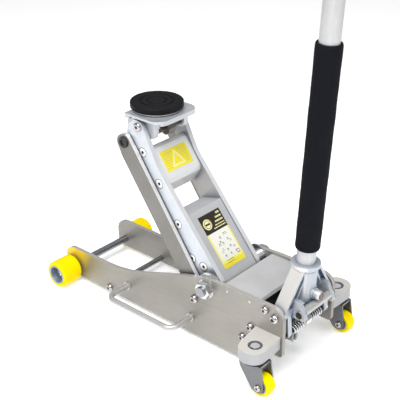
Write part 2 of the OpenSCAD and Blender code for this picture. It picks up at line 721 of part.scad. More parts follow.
module lower_tube() {
    color(arm_silver) on_handle() difference() {
        union() {
            translate([0, 0, 16]) cylinder(d = tube_d, h = joint_z - 16);
            translate([0, 0, -6]) cylinder(d = 12, h = 24);
        }
        translate([0, 0, 24]) cylinder(d = tube_bore, h = 700);
        x_rod(0, button_z, 8 + 2 * run_gap, -30, 0);
        translate([-3, -20, -10]) cube([6, 40, 10]);
    }
}
module foam_sleeve() {
    r = foam_d / 2;
    color(black) on_handle() rotate_extrude() polygon(rounded([[tube_d / 2 + 0.02, foam_z0, 0], [r, foam_z0, 3],
        [r, foam_z1, 3], [tube_d / 2 + 0.02, foam_z1, 0]]));
}
module upper_tube() {
    color(arm_silver) on_handle() difference() {
        union() {
            translate([0, 0, joint_z - 50]) cylinder(d = tube_bore - 0.2, h = 60);
            translate([0, 0, joint_z]) cylinder(d = tube_d, h = handle_len - joint_z - 6);
        }
        translate([0, 0, joint_z - 60]) cylinder(d = tube_bore - 5, h = 1000);
        x_rod(0, button_z, 8 + 2 * run_gap, -30, 0);
    }
}
module handle_grip() {
    r = 20;
    z0 = handle_len - 130;
    color(black) on_handle() difference() {
        rotate_extrude() polygon(rounded([[0, z0, 0], [r, z0, 2], [r, z0 + 8, 0.4], [r - 1, z0 + 8, 0],
            [r - 1, handle_len - 12, 0.4], [r, handle_len - 12, 0.4], [r, handle_len, 4], [0, handle_len, 0]]));
        translate([0, 0, z0 - 1]) cylinder(d = tube_d + 0.04, h = 125.5);
    }
}
module lock_button() {
    color(zinc) on_handle() translate([0, 0, button_z]) rotate([0, -90, 0]) {
        translate([0, 0, 6]) cylinder(d = 8, h = 12);
        intersection() {
            translate([0, 0, 16]) sphere(d = 8);
            translate([0, 0, 17.9]) cylinder(d = 9, h = 5);
        }
    }
}

// ---- Wheels ----
module front_hub() {
    color(hub_grey) translate([axle_x, 0, front_r]) rotate([-90, 0, 0]) rotate_extrude()
        polygon(rounded([[axle_d / 2 + run_gap, hub_y0, 0], [20, hub_y0, 1], [20, hub_y1, 0.8], [17, hub_y1, 1],
            [15, hub_y1 - cup_depth, 3], [axle_d / 2 + run_gap, hub_y1 - cup_depth, 0]]));
}
module front_tyre() {
    color(yellow) translate([axle_x, 0, front_r]) rotate([-90, 0, 0]) rotate_extrude()
        polygon(rounded([[20, hub_y0 + 0.5, 0], [front_r - 1.5, hub_y0 + 0.5, 3], [front_r, hub_y0 + 12, 20],
            [front_r, hub_y1 - 12, 20], [front_r - 1.5, hub_y1 - 0.5, 3], [20, hub_y1 - 0.5, 0]]));
}
module left_front_hub() {
    front_hub();
}
module left_front_tyre() {
    front_tyre();
}
module right_front_hub() {
    mirror([0, 1, 0]) front_hub();
}
module right_front_tyre() {
    mirror([0, 1, 0]) front_tyre();
}
caster_axle = [king_x - trail, caster_r];
leg_in = caster_w / 2 + 1.5;
caster_pin_d = 8;
module caster_fork() {
    leg = rounded([[king_x + 23, fork_z1, 2], [king_x + 21, fork_z1 - 14, 16], [king_x - 8, 9, 12],
        [caster_axle.x - 10.5, 9.5, 9.5], [caster_axle.x - 10.5, 27, 9], [king_x - 24, fork_z1, 2]]);
    color(zinc) translate([0, king_y, 0]) difference() {
        union() {
            translate([king_x, 0, fork_z1 - fork_t]) cylinder(d = 46, h = fork_t);
            translate([king_x - 23, -leg_in - 3, fork_z1 - fork_t]) cube([45, 2 * leg_in + 6, fork_t]);
            both_sides() side_slab(leg_in, 3) polygon(leg);
        }
        translate([king_x, 0, 0]) cylinder(d = king_d + 2 * run_gap, h = 200);
        y_rod(caster_axle, caster_pin_d + 2 * seat_gap, -50, 50);
    }
}
module caster_pin() {
    color(zinc) translate([0, king_y, 0]) {
        y_rod(caster_axle, caster_pin_d, -leg_in - 3.1, leg_in + 3.1);
        both_sides() translate([caster_axle.x, leg_in + 3, caster_axle.y]) dome_head(12.5, 4);
    }
}
module caster_hub() {
    color(hub_grey) translate([caster_axle.x, king_y, caster_axle.y]) rotate([-90, 0, 0]) rotate_extrude()
        polygon([[caster_pin_d / 2 + run_gap, -caster_w / 2 - 0.6], [7, -caster_w / 2 - 0.6],
            [7.5, -caster_w / 2 + 3], [12, -caster_w / 2 + 3], [12.5, -caster_w / 2], [14, -caster_w / 2],
            [14, caster_w / 2], [12.5, caster_w / 2], [12, caster_w / 2 - 3], [7.5, caster_w / 2 - 3],
            [7, caster_w / 2 + 0.6], [caster_pin_d / 2 + run_gap, caster_w / 2 + 0.6]]);
}
module caster_tyre() {
    w = caster_w / 2;
    color(yellow) translate([caster_axle.x, king_y, caster_axle.y]) rotate([-90, 0, 0]) rotate_extrude()
        polygon(rounded([[14, -w + 0.2, 0], [caster_r - 0.8, -w + 0.2, 2], [caster_r, -w + 6, 8],
            [caster_r, w - 6, 8], [caster_r - 0.8, w - 0.2, 2], [14, w - 0.2, 0]]));
}
module left_caster_fork() {
    caster_fork();
}
module left_caster_axle() {
    caster_pin();
}
module left_caster_hub() {
    caster_hub();
}
module left_caster_tyre() {
    caster_tyre();
}
module right_caster_fork() {
    mirror([0, 1, 0]) caster_fork();
}
module right_caster_axle() {
    mirror([0, 1, 0]) caster_pin();
}
module right_caster_hub() {
    mirror([0, 1, 0]) caster_hub();
}
module right_caster_tyre() {
    mirror([0, 1, 0]) caster_tyre();
}

left_side_plate();
right_side_plate();
front_axle();
cross_tubes();
carry_handles();
caster_blocks();
king_bolts();
caster_bearings();
arm_pivot_shaft();
arm_pivot_nuts();
arm_pivot_spacers();
pivot_bolts();
plate_screws();
pump_block();
ram_cylinder();
cover_plate();
handle_stop_blocks();
left_arm_cheek();
right_arm_cheek();
upper_cross_plate();
lower_cross_plate();
arm_screws();
arm_labels();
arm_crank_sleeve();
ram_pin();
left_level_link();
right_level_link();
saddle_bracket();
bracket_pivot_screws();
link_upper_pins();
bracket_cross_rod();
saddle_cup();
saddle_pad();
saddle_retainer();
ram_piston();
pump_plungers();
release_valve();
handle_socket();
clamp_screw();
roller_shaft();
pump_roller();
return_springs();
socket_tie_shaft();
lower_tube();
foam_sleeve();
upper_tube();
handle_grip();
lock_button();
left_front_hub();
left_front_tyre();
right_front_hub();
right_front_tyre();
left_caster_fork();
left_caster_axle();
left_caster_hub();
left_caster_tyre();
right_caster_fork();
right_caster_axle();
right_caster_hub();
right_caster_tyre();
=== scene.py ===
import math
import bmesh
import bpy
from mathutils import Matrix, Vector


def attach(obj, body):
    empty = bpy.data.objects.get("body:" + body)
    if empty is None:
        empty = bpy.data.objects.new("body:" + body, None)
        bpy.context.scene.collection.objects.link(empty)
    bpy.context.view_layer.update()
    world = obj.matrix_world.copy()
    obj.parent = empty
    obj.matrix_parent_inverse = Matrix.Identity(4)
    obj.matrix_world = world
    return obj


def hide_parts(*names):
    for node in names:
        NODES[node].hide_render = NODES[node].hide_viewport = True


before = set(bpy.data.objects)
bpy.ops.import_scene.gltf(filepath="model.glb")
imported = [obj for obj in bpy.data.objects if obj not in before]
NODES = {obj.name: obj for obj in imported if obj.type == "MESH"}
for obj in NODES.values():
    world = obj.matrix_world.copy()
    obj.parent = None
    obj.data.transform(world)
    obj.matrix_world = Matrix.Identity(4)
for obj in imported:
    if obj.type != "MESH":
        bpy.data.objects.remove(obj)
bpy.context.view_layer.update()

MM = 0.001

# ---- Places, in millimetres in the part's frame ----
AXLE_X = 283.0
ARM_PIVOT = Vector((AXLE_X - 363.5, 0, 123.0))
ARM_ANGLE = math.radians(54.7)
ARM_LEN = 316.5
SOCKET_PIVOT = Vector((AXLE_X - 517.5, 0, 125.5))
LEAN = math.radians(3.1)
SADDLE_X = ARM_PIVOT.x + ARM_LEN * math.cos(ARM_ANGLE) + 5
KING = Vector((AXLE_X - 511, 124, 0))
ROLLER = Vector((-11.6, 0, -39))
TRAIL, CASTER_R, CASTER_W = 19.4, 20.0, 22.0
FRONT_R, HUB_Y0, FRONT_W = 27.8, 83.0, 47.0
RIM_DROP = 5 / 60
ARM_SCREWS = [(272, -20), (207, -17), (125, -20), (57, -27), (35, -8)]
RECESS_Y, RIM_Y, RECESS_R = 55.4, 56.4, 2.9
TIE_END = (-29, 50.05, 5.5)
CLAMP_END = (-38.2, 0, 25)

ON_ARM = Matrix.Translation(ARM_PIVOT) @ Matrix.Rotation(-ARM_ANGLE, 4, "Y")
ON_HANDLE = Matrix.Translation(SOCKET_PIVOT) @ Matrix.Rotation(-LEAN, 4, "Y")
ALONG_Y = Matrix.Rotation(math.radians(-90), 4, "X")
BACKWARDS = Matrix.Rotation(math.radians(-90), 4, "Y")
MIRROR_Y = Matrix.Scale(-1, 4, Vector((0, 1, 0)))


# ---- Materials ----
class Shader:
    """A principled material with a small kit for wiring procedural detail."""

    def __init__(self, name):
        self.material = bpy.data.materials.new(name)
        self.material.use_nodes = True
        self.tree = self.material.node_tree
        self.bsdf = self.tree.nodes["Principled BSDF"]
        self.coords = self.node("ShaderNodeTexCoord").outputs["Object"]

    def node(self, kind, **values):
        n = self.tree.nodes.new(kind)
        for key, value in values.items():
            setattr(n, key, value)
        return n

    def link(self, a, b):
        self.tree.links.new(a, b)

    def put(self, **values):
        for key, value in values.items():
            self.bsdf.inputs[key.replace("_", " ")].default_value = value

    def mapped(self, scale=(1, 1, 1), turn=0.0):
        m = self.node("ShaderNodeMapping")
        m.inputs["Scale"].default_value = scale
        m.inputs["Rotation"].default_value = (0, turn, 0)
        self.link(self.coords, m.inputs["Vector"])
        return m.outputs["Vector"]

    def noise(self, scale, detail=3.0, rough=0.5, vector=None):
        n = self.node("ShaderNodeTexNoise")
        n.inputs["Scale"].default_value = scale
        n.inputs["Detail"].default_value = detail
        n.inputs["Roughness"].default_value = rough
        self.link(vector or self.coords, n.inputs["Vector"])
        return n.outputs["Fac"]

    def spread(self, value, low, high, to_low=0.0, to_high=1.0):
        m = self.node("ShaderNodeMapRange")
        for key, v in zip(("From Min", "From Max", "To Min", "To Max"), (low, high, to_low, to_high)):
            m.inputs[key].default_value = v
        self.link(value, m.inputs["Value"])
        return m.outputs["Result"]

    def mix(self, fac, a, b):
        m = self.node("ShaderNodeMix", data_type="RGBA")
        for key, v in (("Factor", fac), ("A", a), ("B", b)):
            sockets = [s for s in m.inputs if s.name == key and s.enabled]
            if isinstance(v, (tuple, float)):
                sockets[0].default_value = v if isinstance(v, float) else (*v, 1.0)
            else:
                self.link(v, sockets[0])
        return [s for s in m.outputs if s.enabled][0]

    def math(self, op, a, b=None):
        m = self.node("ShaderNodeMath", operation=op)
        for i, v in enumerate((a, b)):
            if v is None:
                continue
            if isinstance(v, (int, float)):
                m.inputs[i].default_value = v
            else:
                self.link(v, m.inputs[i])
        return m.outputs[0]

    def bump(self, height, strength, distance):
        b = self.node("ShaderNodeBump")
        b.inputs["Strength"].default_value = strength
        b.inputs["Distance"].default_value = distance
        self.link(height, b.inputs["Height"])
        self.link(b.outputs["Normal"], self.bsdf.inputs["Normal"])

    def edges(self, radius):
        """1 on sharp edges and 0 on open faces."""
        soft = self.node("ShaderNodeBevel", samples=4)
        soft.inputs["Radius"].default_value = radius
        flat = self.node("ShaderNodeNewGeometry")
        dot = self.node("ShaderNodeVectorMath", operation="DOT_PRODUCT")
        self.link(soft.outputs["Normal"], dot.inputs[0])
        self.link(flat.outputs["Normal"], dot.inputs[1])
        return self.spread(dot.outputs["Value"], 0.99, 0.86)

    def split(self, kind):
        """The X, Y and Z outputs of a geometry vector."""
        n = self.node("ShaderNodeSeparateXYZ")
        self.link(self.node("ShaderNodeNewGeometry").outputs[kind], n.inputs[0])
        return n.outputs

    def facing_up(self):
        """1 on faces that look upwards and 0 on upright faces."""
        return self.spread(self.split("Normal")["Z"], 0.25, 0.5)

    def facing_side(self):
        """1 on faces that look left or right."""
        return self.spread(self.math("ABSOLUTE", self.split("Normal")["Y"]), 0.68, 0.80)

    def facing_in(self):
        """1 on faces that look towards the middle plane."""
        product = self.math("MULTIPLY", self.split("Position")["Y"], self.split("Normal")["Y"])
        return self.spread(product, -0.03, -0.044)

    def wheel_reflection_mask(self):
        """Painted wheel reflection: 1 on the outer faces beside the front wheels, fading to 0 further back and
        lower down.
        """
        at, normal = self.split("Position"), self.split("Normal")
        forward = self.math("ADD", at["X"], self.math("MULTIPLY", at["Z"], 0.6))
        outward = self.spread(self.math("MULTIPLY", at["Y"], normal["Y"]), 0.04, 0.07)
        return self.math("MULTIPLY", self.spread(forward, (AXLE_X - 16) * MM, (AXLE_X + 16) * MM), outward)

    def nook_shade_mask(self):
        """1 deep in corners and gaps and 0 on open faces: the mask of the painted shade in corners."""
        near = self.node("ShaderNodeAmbientOcclusion", samples=6)
        near.inputs["Distance"].default_value = 0.022
        return self.spread(near.outputs["AO"], 0.82, 0.30)


def darker(c, k):
    return tuple(min(1.0, x * k) for x in c)


def metal(name, color, rough, metallic=0.8, grain=(40, 900, 900), turn=0.0, bump=0.12, tint=0.07,
          edge_highlight_k=1.35, edge_r=0.0012, speck=0.0, edge_highlight=True,
          top=None, nook_shade=None, side=None, wheel_reflection=None, inner=None):
    """Satin or polished metal: cloudy tint, grain, edges brightened as a painted highlight, and faint marks.

    top and side are painted light, lighter tones of faces that look up and sideways; inner is painted shade
    on faces that look towards the middle plane; the corner tone is painted shade in corners and gaps;
    and the wheel tone is a painted yellow reflection of the front wheels on the faces beside them.
    """
    s = Shader(name)
    s.put(Metallic=metallic)
    cloud = s.noise(14.0, 4.0, 0.6)
    grain_fac = s.noise(1.0, 2.0, 0.6, s.mapped(grain, turn))
    marks = s.spread(s.noise(55.0, 6.0, 0.7), 0.52, 0.72)
    color_out = s.mix(s.spread(cloud, 0.3, 0.7), darker(color, 1 - tint), darker(color, 1 + tint))
    color_out = s.mix(s.math("MULTIPLY", s.spread(grain_fac, 0.3, 0.7), 0.22), color_out, darker(color, 0.78))
    if speck:
        dots = s.spread(s.noise(1500.0, 1.0, 0.5), 0.58, 0.7)
        color_out = s.mix(s.math("MULTIPLY", dots, speck), color_out, darker(color, 0.62))
    # Painted highlight: sharp edges are mixed towards a brighter copy of the colour.
    if edge_highlight:
        color_out = s.mix(s.math("MULTIPLY", s.edges(edge_r), 0.75), color_out, darker(color, edge_highlight_k))
    # Painted shade: faces that look towards the middle plane take the darker inner tone.
    if inner:
        color_out = s.mix(s.facing_in(), color_out, inner)
    # Painted light: faces that look sideways take the lighter side tone.
    if side:
        color_out = s.mix(s.facing_side(), color_out, side)
    # Painted reflection: outer faces beside the front wheels are mixed towards the yellow of the tyres.
    if wheel_reflection:
        color_out = s.mix(s.math("MULTIPLY", s.wheel_reflection_mask(), 0.8), color_out, wheel_reflection)
    # Painted light: faces that look up take the lighter top tone.
    if top:
        color_out = s.mix(s.facing_up(), color_out, top)
    # Painted shade: corners and gaps are mixed towards the darker corner tone.
    if nook_shade:
        color_out = s.mix(s.math("MULTIPLY", s.nook_shade_mask(), 0.85), color_out, nook_shade)
    s.link(color_out, s.bsdf.inputs["Base Color"])
    rough_out = s.spread(grain_fac, 0.2, 0.8, rough * 0.85, rough * 1.2)
    rough_out = s.math("ADD", rough_out, s.math("MULTIPLY", marks, 0.06))
    s.link(rough_out, s.bsdf.inputs["Roughness"])
    s.bump(s.math("ADD", grain_fac, s.math("MULTIPLY", marks, 0.25)), bump, 0.0002)
    return s.material


def rubber(name, color, rough, cell=900.0, bump=0.3, dust=0.5, gloss=0.2):
    s = Shader(name)
    s.put(Specular_IOR_Level=gloss)
    cloud = s.noise(30.0, 5.0, 0.65)
    cells = s.noise(cell, 2.0, 0.6)
    color_out = s.mix(s.math("MULTIPLY", s.spread(cloud, 0.45, 0.75), dust), color, darker(color, 2.1))
    s.link(color_out, s.bsdf.inputs["Base Color"])
    s.link(s.spread(cloud, 0.3, 0.7, rough * 0.85, min(1.0, rough * 1.15)), s.bsdf.inputs["Roughness"])
    s.bump(cells, bump, 0.0003)
    return s.material


def plastic(name, color, rough, tint=0.06, bump=0.08, scuff=0.25, gloss=0.3):
    s = Shader(name)
    s.put(Specular_IOR_Level=gloss)
    cloud = s.noise(22.0, 4.0, 0.6)
    scratches = s.spread(s.noise(1.0, 5.0, 0.7, s.mapped((60, 500, 60))), 0.56, 0.75)
    color_out = s.mix(s.spread(cloud, 0.3, 0.7), darker(color, 1 - tint), darker(color, 1 + tint))
    color_out = s.mix(s.math("MULTIPLY", scratches, scuff), color_out, darker(color, 0.8))
    s.link(color_out, s.bsdf.inputs["Base Color"])
    s.link(s.spread(cloud, 0.3, 0.7, rough * 0.85, rough * 1.2), s.bsdf.inputs["Roughness"])
    s.bump(s.noise(700.0, 2.0, 0.5), bump, 0.0002)
    return s.material


# Painted light: the top tones below are lighter colours for faces that look up.
PLATE = metal("PlateSatin", (0.315, 0.302, 0.276), 0.42, 0.75, (30, 700, 500), bump=0.1, speck=0.10,
              # The yellow wheel tone is a painted reflection of the front tyres.
              top=(0.60, 0.585, 0.55), wheel_reflection=(0.85, 0.66, 0.02))
BLOCK = metal("BlockSatin", (0.38, 0.385, 0.395), 0.42, 0.5, (700, 40, 500), bump=0.1, speck=0.10,
              top=(0.72, 0.70, 0.66))
# Painted highlight: LINK and CAST brighten their edges more strongly than the other metals.
LINK = metal("LinkSatin", (0.225, 0.217, 0.204), 0.40, 0.75, (500, 500, 30), -ARM_ANGLE, bump=0.1, edge_highlight_k=2.0,
             top=(0.80, 0.79, 0.78))
# ARM carries painted shade: darker inner faces, and a dark blue shade in corners and along the links.
ARM = metal("ArmSilver", (0.60, 0.63, 0.68), 0.40, 0.5, (500, 500, 30), -ARM_ANGLE, bump=0.1, edge_highlight_k=1.4,
            top=(0.70, 0.71, 0.73), nook_shade=(0.07, 0.10, 0.17), inner=(0.36, 0.355, 0.35))
# The two cross plates are lit and shaded copies of one silver: painted light makes the upper one lighter and
# painted shade makes the lower one darker; both also take painted shade in corners.
UPPER_CROSS_LIT = metal("UpperCrossLitSilver", (0.76, 0.765, 0.77), 0.5, 0.4, (600, 40, 600), bump=0.1, speck=0.12,
                    nook_shade=(0.30, 0.31, 0.33))
LOWER_CROSS_SHADED = metal("LowerCrossShadedSilver", (0.50, 0.505, 0.52), 0.5, 0.4, (600, 40, 600), bump=0.1, speck=0.12,
                    nook_shade=(0.25, 0.26, 0.28))
BRACKET = metal("BracketSilver", (0.52, 0.535, 0.56), 0.36, 0.6, (40, 700, 700), bump=0.1)
# CAST is painted with light and shade: the bluish base is a shaded copy, faces that look sideways take a
# lighter cream copy, and corners take a blue painted shade.
CAST = metal("CastSilver", (0.44, 0.47, 0.515), 0.36, 0.5, (260, 260, 260), bump=0.25, tint=0.08, edge_highlight_k=2.2,
             nook_shade=(0.13, 0.21, 0.34), side=(0.63, 0.622, 0.60))
COVER = metal("CoverGrain", (0.63, 0.63, 0.64), 0.5, 0.6, (900, 900, 900), bump=0.35, speck=0.35)
ZINC = metal("ZincBright", (0.66, 0.66, 0.66), 0.24, 0.95, (300, 300, 300), bump=0.05, edge_highlight=False)
HANDLE_ZINC = metal("HandleZinc", (0.50, 0.495, 0.485), 0.42, 0.65, (40, 300, 300), bump=0.04, edge_highlight=False)
# Painted shade: the corner tones of the pale screws and the bolts darken their recesses.
PALE_ZINC = metal("PaleZinc", (0.90, 0.90, 0.91), 0.30, 0.4, (300, 300, 300), bump=0.04, edge_highlight=False,
                  nook_shade=(0.05, 0.06, 0.07))
BOLT = metal("BoltZinc", (0.62, 0.62, 0.635), 0.30, 0.5, (300, 300, 300), bump=0.04, edge_highlight=False,
             nook_shade=(0.10, 0.12, 0.15))
FORK = metal("ForkZinc", (0.17, 0.174, 0.18), 0.34, 0.85, (200, 200, 200), bump=0.15, tint=0.12)
CHROME = metal("ScrewChrome", (0.50, 0.475, 0.47), 0.16, 1.0, (400, 400, 400), bump=0.02, tint=0.04,
               edge_highlight=False)
SPRING = metal("SpringSteel", (0.62, 0.63, 0.65), 0.25, 0.9, (300, 300, 300), bump=0.05, edge_highlight=False)
STEEL = metal("GroundSteel", (0.30, 0.31, 0.33), 0.28, 0.95, (60, 900, 900), bump=0.1, edge_highlight=False)
DARK_STEEL = metal("BlackSteel", (0.045, 0.042, 0.042), 0.36, 0.6, (300, 300, 300), bump=0.1, edge_highlight=False)
# Painted shade: a near-black that stands in for shade, on the parts deep in the void under the cover plate and
# in the arm screws' recesses.
SHADE_BLACK = rubber("ShadeBlack", (0.004, 0.004, 0.0045), 0.7, cell=400.0, bump=0.2, dust=0.3, gloss=0.05)
ROD_STEEL = metal("RodSteel", (0.17, 0.15, 0.145), 0.36, 0.7, (300, 300, 300), bump=0.1, edge_highlight=False)
PIN_END = metal("PinEnd", (0.15, 0.13, 0.12), 0.5, 0.4, (300, 300, 300), bump=0.1, edge_highlight=False)
HUB = metal("HubGrey", (0.29, 0.345, 0.43), 0.42, 0.6, (250, 250, 250), bump=0.2, edge_highlight=False)
TUBE = metal("TubeSilver", (0.50, 0.50, 0.505), 0.36, 0.45, (500, 500, 14), -LEAN, bump=0.04, edge_highlight=False)
PAD = rubber("PadRubber", (0.0062, 0.0062, 0.0072), 0.62, bump=0.25, dust=0.7, gloss=0.12)
FOAM = rubber("FoamBlack", (0.0036, 0.0040, 0.0066), 0.78, cell=650.0, bump=0.5, gloss=0.12)
GRIP = rubber("GripRubber", (0.010, 0.010, 0.011), 0.6, bump=0.4)
YELLOW = plastic("WheelYellow", (0.86, 0.66, 0.0), 0.45, gloss=0.06)
LABEL_YELLOW = plastic("LabelYellow", (0.70, 0.60, 0.035), 0.4, 0.03, 0.03, 0.1)
LABEL_DIM = plastic("LabelDimYellow", (0.50, 0.43, 0.10), 0.45, 0.03, 0.03, 0.1)
LABEL_CREAM = plastic("LabelCream", (0.72, 0.69, 0.36), 0.4, 0.03, 0.03, 0.1)
LABEL_WHITE = plastic("LabelWhite", (0.70, 0.70, 0.64), 0.4, 0.03, 0.03, 0.1)
LABEL_PALE = plastic("LabelPaleYellow", (0.74, 0.68, 0.22), 0.4, 0.03, 0.03, 0.1)
LABEL_BLACK = plastic("LabelBlack", (0.022, 0.017, 0.013), 0.35, 0.05, 0.03, 0.1)
LABEL_INK = plastic("LabelInk", (0.10, 0.10, 0.10), 0.45, 0.05, 0.03, 0.1)


# ---- Mesh helpers ----
def from_bmesh(name, bm, material, matrix=Matrix(), smooth=True):
    """An object whose vertices, given in millimetres, are placed by matrix and stored in metres."""
    bm.transform(Matrix.Scale(MM, 4) @ matrix)
    if matrix.determinant() < 0:
        bmesh.ops.reverse_faces(bm, faces=bm.faces)
    mesh = bpy.data.meshes.new(name)
    bm.to_mesh(mesh)
    bm.free()
    obj = bpy.data.objects.new(name, mesh)
    bpy.context.scene.collection.objects.link(obj)
    mesh.materials.append(material)
    mesh.polygons.foreach_set("use_smooth", [smooth] * len(mesh.polygons))
    return obj


def arc_profile(points):
    """Rounds the corners [r, h, radius] of a profile with arcs."""
    out = []
    n = len(points)
    for i, (x, y, rad) in enumerate(points):
        p = Vector((x, y))
        if rad <= 0 or i in (0, n - 1):
            out.append(p)
            continue
        a = (Vector(points[i - 1][:2]) - p).normalized()
        b = (Vector(points[i + 1][:2]) - p).normalized()
        half = a.angle(b) / 2
        t = rad / math.tan(half)
        centre = p + (a + b).normalized() * rad / math.sin(half)
        start, end = p + a * t - centre, p + b * t - centre
        turn = start.angle_signed(end)
        steps = 6
        for k in range(steps + 1):
            out.append(centre + (Matrix.Rotation(-turn * k / steps, 2) @ start))
    return out


def lathe(name, points, material, matrix, segments=96, closed=False):
    """Turns a profile of (radius, height) about Z. closed joins the last point to the first."""
    profile = arc_profile(points)
    bm = bmesh.new()
    rings = []
    for r, h in profile:
        if r < 1e-6:
            rings.append([bm.verts.new((0, 0, h))])
        else:
            rings.append([bm.verts.new((r * math.cos(t), r * math.sin(t), h))
                          for t in (2 * math.pi * k / segments for k in range(segments))])
    pairs = list(zip(rings, rings[1:])) + ([(rings[-1], rings[0])] if closed else [])
    for a, b in pairs:
        for k in range(segments):
            j = (k + 1) % segments
            corners = [a[k % len(a)], a[j % len(a)], b[j % len(b)], b[k % len(b)]]
            unique = list(dict.fromkeys(corners))
            if len(unique) > 2:
                bm.faces.new(unique)
    bmesh.ops.recalc_face_normals(bm, faces=bm.faces)
    obj = from_bmesh(name, bm, material, matrix)
    sharp(obj, 40)
    return obj


def sharp(obj, degrees):
    """Keeps edges over that angle crisp under smooth shading."""
    bm = bmesh.new()
    bm.from_mesh(obj.data)
    for e in bm.edges:
        e.smooth = not (len(e.link_faces) == 2 and e.calc_face_angle() > math.radians(degrees))
    bm.to_mesh(obj.data)
    bm.free()


def sweep(name, path, radius, material, matrix=Matrix(), sides=14):
    """A round wire along a path, with flat ends."""
    bm = bmesh.new()
    pts = [Vector(p) for p in path]
    up = Vector((0, 1, 0.3)).normalized()
    rings = []
    for i, p in enumerate(pts):
        d = (pts[min(i + 1, len(pts) - 1)] - pts[max(i - 1, 0)]).normalized()
        side = d.cross(up).normalized()
        up = side.cross(d).normalized()
        rings.append([bm.verts.new(p + radius * (math.cos(t) * side + math.sin(t) * up))
                      for t in (2 * math.pi * k / sides for k in range(sides))])
    for a, b in zip(rings, rings[1:]):
        for k in range(sides):
            bm.faces.new((a[k], a[(k + 1) % sides], b[(k + 1) % sides], b[k]))
    bm.faces.new(rings[0])
    bm.faces.new(rings[-1])
    bmesh.ops.recalc_face_normals(bm, faces=bm.faces)
    return from_bmesh(name, bm, material, matrix)


def slab(name, outline, thick, material, matrix, bevel=0.0):
    """A flat plate with that outline in its own XY plane, from z = 0 to thick."""
    bm = bmesh.new()
    face = bm.faces.new([bm.verts.new((x, y, 0)) for x, y in outline])
    made = bmesh.ops.extrude_face_region(bm, geom=[face])
    raised = [g for g in made["geom"] if isinstance(g, bmesh.types.BMVert)]
    bmesh.ops.translate(bm, vec=(0, 0, thick), verts=raised)
    bmesh.ops.recalc_face_normals(bm, faces=bm.faces)
    obj = from_bmesh(name, bm, material, matrix, smooth=False)
    if bevel:
        mod = obj.modifiers.new("Edges", "BEVEL")
        mod.width, mod.segments, mod.limit_method = bevel * MM, 2, "ANGLE"
    return obj


def rect(x0, y0, x1, y1):
    return [(x0, y0), (x1, y0), (x1, y1), (x0, y1)]


def disc(x, y, r, n=40):
    return [(x + r * math.cos(2 * math.pi * k / n), y + r * math.sin(2 * math.pi * k / n)) for k in range(n)]


def dress(node, material, bevel=0.6, angle=28):
    """Keeps a CAD node: its own shape, softened edges and a procedural material."""
    obj = NODES[node]
    obj.data.materials.clear()
    obj.data.materials.append(material)
    obj.data.polygons.foreach_set("use_smooth", [True] * len(obj.data.polygons))
    weld = obj.modifiers.new("Weld", "WELD")
    weld.merge_threshold = 0.00002
    if not bevel:
        split = obj.modifiers.new("Split", "EDGE_SPLIT")
        split.split_angle = math.radians(angle)
        return
    flat = obj.modifiers.new("Flat", "DECIMATE")
    flat.decimate_type, flat.angle_limit = "DISSOLVE", math.radians(0.8)
    mod = obj.modifiers.new("Edges", "BEVEL")
    mod.width, mod.segments, mod.limit_method = bevel * MM, 2, "ANGLE"
    mod.angle_limit = math.radians(angle)
    even = obj.modifiers.new("Normals", "WEIGHTED_NORMAL")
    even.keep_sharp = True


# ---- CAD nodes that stay ----
LOOKS = [
    (PLATE, 0.9, "left_side_plate right_side_plate"),
    (BLOCK, 0, "caster_blocks"),
    (LINK, 1.2, "left_level_link right_level_link"),
    (ARM, 1.1, "left_arm_cheek right_arm_cheek"),
    (UPPER_CROSS_LIT, 0.4, "upper_cross_plate"),
    (LOWER_CROSS_SHADED, 0.4, "lower_cross_plate"),
    (BRACKET, 1.0, "saddle_bracket"),
    (CAST, 0, "handle_socket"),
    (BRACKET, 0, "saddle_cup arm_crank_sleeve"),
    # Painted shade: these parts deep in the void under the cover plate are near-black to stand in for its
    # shade.
    (SHADE_BLACK, 0, "pump_block handle_stop_blocks ram_cylinder"),
    (COVER, 0.6, "cover_plate"),
    (HANDLE_ZINC, 0, "carry_handles socket_tie_shaft"),
    (ZINC, 0, "arm_pivot_nuts arm_pivot_spacers pump_roller lock_button front_axle"),
    (BOLT, 0, "clamp_screw king_bolts"),
    (PALE_ZINC, 0, "arm_screws"),
    (FORK, 0.6, "left_caster_fork right_caster_fork"),
    (CHROME, 0, "plate_screws pivot_bolts bracket_pivot_screws left_caster_axle right_caster_axle"),
    (STEEL, 0, "caster_bearings arm_pivot_shaft ram_pin ram_piston pump_plungers release_valve cross_tubes"),
    # Black steel; roller_shaft is black partly as painted shade, standing in for the dark inside of the return
    # springs.
    (DARK_STEEL, 0, "link_upper_pins saddle_retainer roller_shaft"),
    (ROD_STEEL, 0, "bracket_cross_rod"),
    (HUB, 0, "left_front_hub right_front_hub left_caster_hub right_caster_hub"),
    (TUBE, 0, "lower_tube upper_tube"),
]
for material, bevel, names in LOOKS:
    for n in names.split():
        dress(n, material, bevel)

# ---- Saddle pad ----
pad = lathe("SaddlePad", [(0, 404.3, 0), (48.9, 404.3, 0), (49.9, 406, 1.2), (50, 414.6, 1.2),
                          (48.6, 415.9, 0.8), (32, 415.9, 0.5), (31.4, 414.0, 0.4), (29.8, 414.0, 0.4),
                          (29.2, 415.9, 0.5),
                          (19.4, 415.9, 0.5), (18.8, 414.0, 0.4), (17.4, 414.0, 0.4), (16.8, 415.9, 0.5),
                          (0, 415.7, 0)],
            PAD, Matrix.Translation((SADDLE_X, 0, 0)), 128)
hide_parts("saddle_pad")
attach(pad, "saddle")

